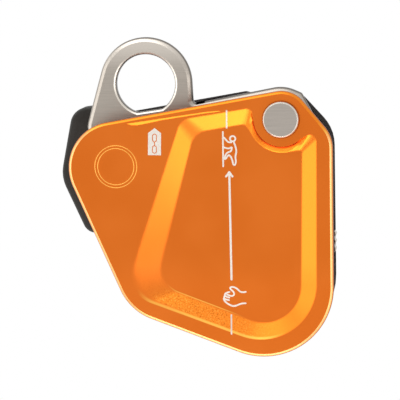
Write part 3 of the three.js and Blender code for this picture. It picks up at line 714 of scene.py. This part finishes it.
def buildSidePlate():
    data = sidePlate
    shell = Shell()
    press = belts([grown(data["slopeTop"], data["support"])]
                  + [between(data["slopeTop"], data["slopeFoot"], share) for share in data["shares"]]
                  + [grown(data["slopeFoot"], -data["support"])])
    middleDepth = data["front"] + data["sheet"] / 2
    for back, offset in ((False, 0), (True, data["sheet"])):
        face = data["front"] + offset
        slope = pressRings(shell, press, offset)
        shell.walls(slope)
        shell.flat([slope[-1]], back=back)
        border = plateEdge(shell, face, middleDepth, back)
        borders = [border, slope[0], plateBore(shell, face, middleDepth, back)]
        creases = []
        if not back:
            borders.append(engrave(shell, face))
            creases = foldLines(shell, slope[0], face)
        shell.flat(borders, lambda x, z: face + dip(x, z), data["pitch"][back], back, creases)
    return shell.piece("sidePlate", orangeAluminium, "side_plate", data["sharp"], ["side_plate"],
                       "orange_aluminium")


orangePlate = buildSidePlate()
print("side plate built")

# White signs on the side plate: thin prints that follow its surface

signs = {
    "thick": 0.03, "sunk": 0.01, "pitch": 0.8, "step": 0.35, "nearness": 1e-5,
    "arrow": [(28.99, -60.6), (28.25, -26.7)], "arrowWide": 0.65,
    "arrowHead": [(27.25, -28.0), (28.25, -26.65), (29.25, -28.0)],
    "marks": [[(27.66, -7.2), (27.4, -12.7)], [(29.0, -71.9), (29.3, -77.5)]], "markWide": 0.5,
    "wall": [(26.2, -14.0), (26.33, -24.8)], "lineWide": 0.52,
    "head": (29.3, -16.1), "headRadius": 0.85, "headSteps": 16,
    "climber": [  # outline of a figure that leans back from the wall
        (29.7, -17.3), (30.35, -18.9), (30.5, -20.4), (30.1, -21.6), (30.35, -23.3), (30.1, -24.4),
        (29.5, -24.35), (29.2, -22.8), (28.6, -21.5), (27.9, -21.2), (27.1, -22.6), (26.6, -22.4),
        (27.4, -20.5), (28.9, -20.1), (29.1, -18.6), (28.2, -19.3), (26.6, -18.9)],
    "arm": [(28.9, -17.2), (27.9, -17.3), (26.6, -15.8)],
    "grip": [  # a fist round a rope, the wrist to the right
        (33.5, -64.5), (31.9, -64.7), (30.5, -63.2), (28.9, -62.9), (28.4, -63.5), (29.7, -64.5),
        (29.9, -65.5), (29.0, -66.0), (27.6, -65.4)],
    "fingers": [[(28.3, -64.6), (27.0, -65.0), (26.8, -65.9), (28.3, -66.4)],
                [(26.8, -65.9), (26.5, -66.8), (28.2, -67.2)]],
    "palm": [(26.5, -66.8), (27.1, -67.9), (28.6, -68.8), (29.9, -69.2), (32.0, -68.2), (33.5, -68.1)],
    "tag": [(2.87, -21.3), (7.01, -21.3), (7.01, -14.35), (4.95, -12.75), (2.87, -14.35)],
    "links": [(4.94, -15.9, 0.62, 0.62), (4.94, -19.5, 0.62, 0.55)], "linkWide": 0.26,
    "bar": [(4.94, -17.2), (4.94, -18.25)],
}


def stroke(points, wide, closed=False, steps=8):  # loops of round-ended bars along a line
    loops = []
    for (ax, az), (bx, bz) in zip(points, points[1:] + (points[:1] if closed else [])):
        angle = math.atan2(bz - az, bx - ax)
        loop = []
        for x, z, start in ((ax, az, angle + math.pi / 2), (bx, bz, angle - math.pi / 2)):
            angles = [start + math.pi * k / steps for k in range(steps + 1)]
            loop += [(x + wide / 2 * math.cos(a), z + wide / 2 * math.sin(a)) for a in angles]
        loops.append(loop)
    return loops


def rounder(points):  # a line with its corners cut off twice
    for _ in range(2):
        cuts = [blend(a, b, share) for a, b in zip(points, points[1:]) for share in (0.25, 0.75)]
        points = [points[0]] + cuts[1:-1] + [points[-1]]
    return points


def linkLine(x, z, half, straight, count=20):  # an oval chain link
    loop = []
    for k in range(count):
        angle = turn * k / count
        up = half * math.sin(angle) + math.copysign(straight, math.sin(angle))
        loop.append((x + half * math.cos(angle), z + up))
    return loop


surface = BVHTree.FromPolygons([vertex.co for vertex in orangePlate.data.vertices],
                               [face.vertices[:] for face in orangePlate.data.polygons])


def onPlate(x, z, start=-0.05):  # depth of the plate's front at a place; start is in front of it, in metres
    hit = surface.ray_cast(Vector((x * mm, start, z * mm)), Vector((0, 1, 0)))[0]
    return hit.y / mm


def printed(name, loops, holes=()):  # one thin body over all the loops, less the holes
    points, edges = [], []
    for loop in [*loops, *holes]:
        start = len(points)
        points += loop
        edges += [(start + i, start + (i + 1) % len(loop)) for i in range(len(loop))]
    for loop in loops:
        points += gridded([loop], signs["pitch"])
    made, triangles, _ = triangulated(points, edges, signs["nearness"])
    shell = Shell()
    top = shell.ring(made, lambda x, z: onPlate(x, z) - signs["thick"])
    low = shell.ring(made, lambda x, z: onPlate(x, z) + signs["sunk"])
    used = {}
    for a, b, c in triangles:
        spot = (made[a] + made[b] + made[c]) / 3
        if any(inside(spot, [loop]) for loop in loops) and not any(inside(spot, [hole]) for hole in holes):
            shell.faces += [(top[a], top[b], top[c]), (low[c], low[b], low[a])]
            for edge in ((a, b), (b, c), (c, a)):
                used[edge] = True
    for a, b in used:
        if (b, a) not in used:
            shell.faces.append((top[b], top[a], low[a], low[b]))
    return shell.piece(name, whitePrint, "side_plate")


def stepped(loop):  # with points along its straights, to follow the surface
    return bowed(dense(loop + loop[:1], signs["step"])[:-1], True)


def buildSigns():
    data = signs
    line, wide = data["lineWide"], data["arrowWide"]
    printed("arrowPrint", stroke(data["arrow"], wide) + stroke(data["arrowHead"], wide))
    for k, mark in enumerate(data["marks"]):
        printed(f"markPrint{k + 1}", [stepped(stroke(mark, data["markWide"])[0])])
    head = circle(*data["head"], data["headRadius"], data["headSteps"])
    loops = stroke(data["wall"], line) + stroke(head, line, True)
    loops += stroke(rounder(data["climber"]), line) + stroke(rounder(data["arm"]), line)
    printed("climberPrint", loops)
    loops = stroke(rounder(data["grip"]), line) + stroke(rounder(data["palm"]), line)
    for finger in data["fingers"]:
        loops += stroke(rounder(finger), line)
    printed("handPrint", loops)
    holes = stroke(data["bar"], data["linkWide"])
    for link in data["links"]:
        holes += stroke(linkLine(*link), data["linkWide"], True)
    printed("tagPrint", [stepped(data["tag"])], holes)


buildSigns()
print("signs printed")

# Steel plate with the eye

eyePlate = {
    "outline": [(10, -56.5, 15.2), (39.1, -62.4, 19.5), (46.3, -20.2, 11.6), (48.8, -3.75, 1.5),
                (43.1, -12.2, 11.5), (16.2, -5, -1), (0, 0, 14.85), (-12.6, -14, 6.3), (-6.5, -38.5, 6)],
    "front": -2, "back": 2, "soft": 0.12, "support": 0.08, "sharp": 24,
    "edge": [(1.4, 0), (0.45, 0.43), (0, 1.25)],  # inset and depth
    "holeEdge": [(0.8, 0), (0.22, 0.26), (0, 0.8)],
    "radius": 9.45, "chord": 8.6, "tilt": 9.1, "bendSteps": 90, "chordSteps": 8,
    "holes": {"pivot_rivet": 3.15, "cam_bearing": 5.25, "lever_axle": 2.75, "cam_stop_pin": 1.65,
              "spring_post": 1.35, "block_rivet_1": 2.15, "block_rivet_2": 2.15, "rope_guide_1": 2.05,
              "rope_guide_2": 2.05, "housing_screw_1": 1.55, "housing_screw_2": 1.55,
              "housing_screw_3": 1.55, "housing_screw_4": 1.55},
    "holeSteps": 40, "cutOver": 1, "notchHalf": 1.6, "notchReach": 6, "catchTravel": 3,
}


def eyeHole(radius):  # a circle closed by a chord
    data = eyePlate
    half = math.acos(data["chord"] / data["radius"])
    start = math.radians(data["tilt"]) - math.pi / 2 + half
    sweep = turn - 2 * half
    count, chordCount = data["bendSteps"], data["chordSteps"]
    points = [(radius * math.cos(start + sweep * k / count), radius * math.sin(start + sweep * k / count))
              for k in range(count + 1)]
    return points + [blend(points[-1], points[0], k / chordCount) for k in range(1, chordCount)]


def plateProfile(edge):  # insets and depths from the front face over the edge to the back one
    data = eyePlate
    widest = edge[0][0] + data["support"]
    corners = [(widest, data["front"])] + [(inset, data["front"] + deep) for inset, deep in edge]
    corners += [(inset, data["back"] - deep) for inset, deep in edge[::-1]] + [(widest, data["back"])]
    return softened(corners, data["soft"])


def carve(obj, outlines, near, far):  # cuts prisms out of a piece
    cutter = Shell()
    for outline in outlines:
        rings = [cutter.ring(outline, near), cutter.ring(outline, far)]
        cutter.wall(*rings)
        cutter.flat([rings[0]])
        cutter.flat([rings[1]], back=True)
    mesh = cutter.mesh("cutter")
    reshape(mesh, outward)
    tool = linked("cutter", mesh)
    cut = obj.modifiers.new("cut", "BOOLEAN")
    cut.operation, cut.solver, cut.object = "DIFFERENCE", "EXACT", tool
    made = bpy.data.meshes.new_from_object(obj.evaluated_get(bpy.context.evaluated_depsgraph_get()))
    obj.modifiers.clear()
    obj.data = made
    bpy.data.objects.remove(tool)


def buildEyePlate():
    data = eyePlate
    shell = Shell()
    edge = plateProfile(data["edge"])
    outlines = belts([grown(data["outline"], -inset) for inset, _ in edge])
    outer = [shell.ring(outline, depth) for outline, (_, depth) in zip(outlines, edge)]
    hole = [shell.ring(eyeHole(data["radius"] + growth), depth)
            for growth, depth in plateProfile(data["holeEdge"])]
    shell.walls(outer)
    shell.walls(hole)
    shell.flat([outer[0], hole[0]])
    shell.flat([outer[-1], hole[-1]], back=True)
    plate = shell.piece("eyePlate", brushedSteel, "frame", data["sharp"], ["eye_plate"], "brushed_steel")
    x, z = middle("catch_post")
    half, low = data["notchHalf"], data["notchHalf"] + data["catchTravel"]
    notch = [(x - half, z - low), (x + data["notchReach"], z - low), (x + data["notchReach"], z + half),
             (x - half, z + half)]
    holes = [circle(*middle(node), radius, data["holeSteps"]) for node, radius in data["holes"].items()]
    carve(plate, holes + [notch], data["front"] - data["cutOver"], data["back"] + data["cutOver"])


buildEyePlate()
print("eye plate built")

# The other pieces keep the frame's shapes, with their edges rounded off

dressed = {  # finish, width of the edge's round in millimetres
    "rear_housing": (blackNylon, 0.35), "rear_cover": (blackNylon, 0.25), "release_lever": (gripGrey, 0.3),
    "housing_screw_1": (satinSteel, 0.15), "housing_screw_2": (satinSteel, 0.15),
    "housing_screw_3": (satinSteel, 0.15), "housing_screw_4": (satinSteel, 0.15),
    "pivot_rivet": (rivetSteel, 0.12), "pivot_collar": (satinSteel, 0.2), "pivot_spacer": (hardSteel, 0.15),
    "plate_bush": (bronze, 0.1), "brake_cam": (hardSteel, 0.2), "cam_axle": (hardSteel, 0.15),
    "cam_bearing": (bronze, 0.1), "cam_arm": (satinSteel, 0.15), "cam_clip": (hardSteel, 0.1),
    "cam_stop_pin": (hardSteel, 0.15), "cam_spring": (hardSteel, 0), "spring_post": (hardSteel, 0.1),
    "lever_bush": (bronze, 0.1), "lever_axle": (hardSteel, 0.15), "lever_drive_pin": (hardSteel, 0.1),
    "brake_block": (hardSteel, 0.2), "block_rivet_1": (satinSteel, 0.15),
    "block_rivet_2": (satinSteel, 0.15), "rope_guide_1": (hardSteel, 0.2), "rope_guide_2": (hardSteel, 0.2),
    "catch_slider": (satinSteel, 0.1), "catch_post": (hardSteel, 0.15), "catch_spring": (hardSteel, 0),
}
dressing = {"sharp": 42, "segments": 2, "profile": 0.7}
bodyOf = {node: body for body, nodes in frame["record"]["behaviour"]["bodies"].items() for node in nodes}


def dress(node, finish, edge):
    words = node.split("_")
    name = words[0] + "".join(word.title() for word in words[1:])
    mesh = frame["nodes"][node].data.copy()
    mesh.name = name
    reshape(mesh, joined, flattened)
    piece = settle(name, mesh, finish, bodyOf[node], dressing["sharp"], [node])
    if edge:
        bevel = piece.modifiers.new("edges", "BEVEL")
        bevel.width, bevel.segments, bevel.profile = edge * mm, dressing["segments"], dressing["profile"]
        bevel.limit_method, bevel.angle_limit = "ANGLE", math.radians(dressing["sharp"])
        bevel.harden_normals = True
    return piece


def shortens(spring):  # the catch presses its spring together as it slides; here the spring only gets a mesh of its own
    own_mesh(spring)


dressedPieces = {node: dress(node, finish, edge) for node, (finish, edge) in dressed.items()}
shortens(dressedPieces["catch_spring"])
print("frame dressed")

# Floor, world, lamps and camera

studio = {
    "floor": -0.36, "floorReach": 3.0, "floorColour": (0.8, 0.8, 0.8), "floorRoughness": 0.9,
    "white": (1, 1, 1), "worldLevel": 0.3,
    "target": (17.29, -0.04, -37.13), "azimuth": 6.5, "elevation": 6.0, "distance": 900,
    "across": 128, "sensor": 36, "clip": (0.01, 20),
}


def paleStage():
    made = Finish("paleFloor")
    made.set({"Base Color": studio["floorColour"], "Roughness": studio["floorRoughness"]})
    glow = made.node("ShaderNodeEmission", {}, {"Color": studio["white"]})
    shown = made.node("ShaderNodeMixShader", {}, {
        0: made.seen(), 1: Sock(made, made.shader.outputs[0]), 2: glow})
    made.put(made.tree.nodes["Material Output"].inputs[0], shown)
    return made.material


def buildStage():
    mesh = bpy.data.meshes.new("floor")
    z, far = studio["floor"], studio["floorReach"]
    mesh.from_pydata([(-far, -far, z), (far, -far, z), (far, far, z), (-far, far, z)], [], [(0, 1, 2, 3)])
    mesh.materials.append(paleStage())
    floor = linked("floor", mesh)


def buildWorld():
    world = bpy.data.worlds.new("studio")
    made = Nodes(world)
    dim = made.tree.nodes["Background"]
    made.put(dim.inputs["Color"], studio["white"])
    made.put(dim.inputs["Strength"], studio["worldLevel"])
    bright = made.node("ShaderNodeBackground", {}, {"Color": studio["white"]})
    shown = made.node("ShaderNodeMixShader", {}, {0: made.seen(), 1: Sock(made, dim.outputs[0]), 2: bright})
    made.put(made.tree.nodes["World Output"].inputs[0], shown)
    bpy.context.scene.world = world


def aim(obj, place, way):  # to look back along a way
    obj.location = place
    obj.rotation_mode = "QUATERNION"
    obj.rotation_quaternion = way.to_track_quat("Z", "Y")


lamps = {  # direction from the middle of the object, distance, size and brightness as seen in a mirror
    "leftLamp": ((-0.87, -0.49, -0.05), 0.55, (0.30, 0.50), 1.65),
    "rightLamp": ((0.68, -0.69, -0.25), 0.60, (0.32, 0.46), 2.2),
    "topLamp": ((-0.25, -0.62, 0.74), 0.60, (0.50, 0.26), 2.0),
    "lowLamp": ((-0.05, -0.48, -0.88), 0.34, (0.36, 0.17), 3.6),
}


def buildLamps():
    centre = Vector(studio["target"]) * mm
    for name, (direction, distance, (wide, high), level) in lamps.items():
        data = bpy.data.lights.new(name, "AREA")
        data.shape = "RECTANGLE"
        data.size, data.size_y = wide, high
        data.energy = level * math.pi * wide * high
        lamp = linked(name, data)
        way = Vector(direction).normalized()
        aim(lamp, centre + way * distance, way)
        lamp.visible_camera = False


def buildCamera():
    data = bpy.data.cameras.new("camera")
    data.sensor_fit = "HORIZONTAL"
    data.sensor_width = studio["sensor"]
    data.lens = studio["sensor"] * studio["distance"] / studio["across"]
    data.clip_start, data.clip_end = studio["clip"]
    camera = linked("camera", data)
    a, e = math.radians(studio["azimuth"]), math.radians(studio["elevation"])
    way = Vector((math.sin(a) * math.cos(e), -math.cos(a) * math.cos(e), math.sin(e)))
    aim(camera, (Vector(studio["target"]) + way * studio["distance"]) * mm, way)
    bpy.context.scene.camera = camera


buildStage()
buildWorld()
buildLamps()
buildCamera()
bpy.context.scene.view_settings.view_transform = "Standard"
print("studio set")
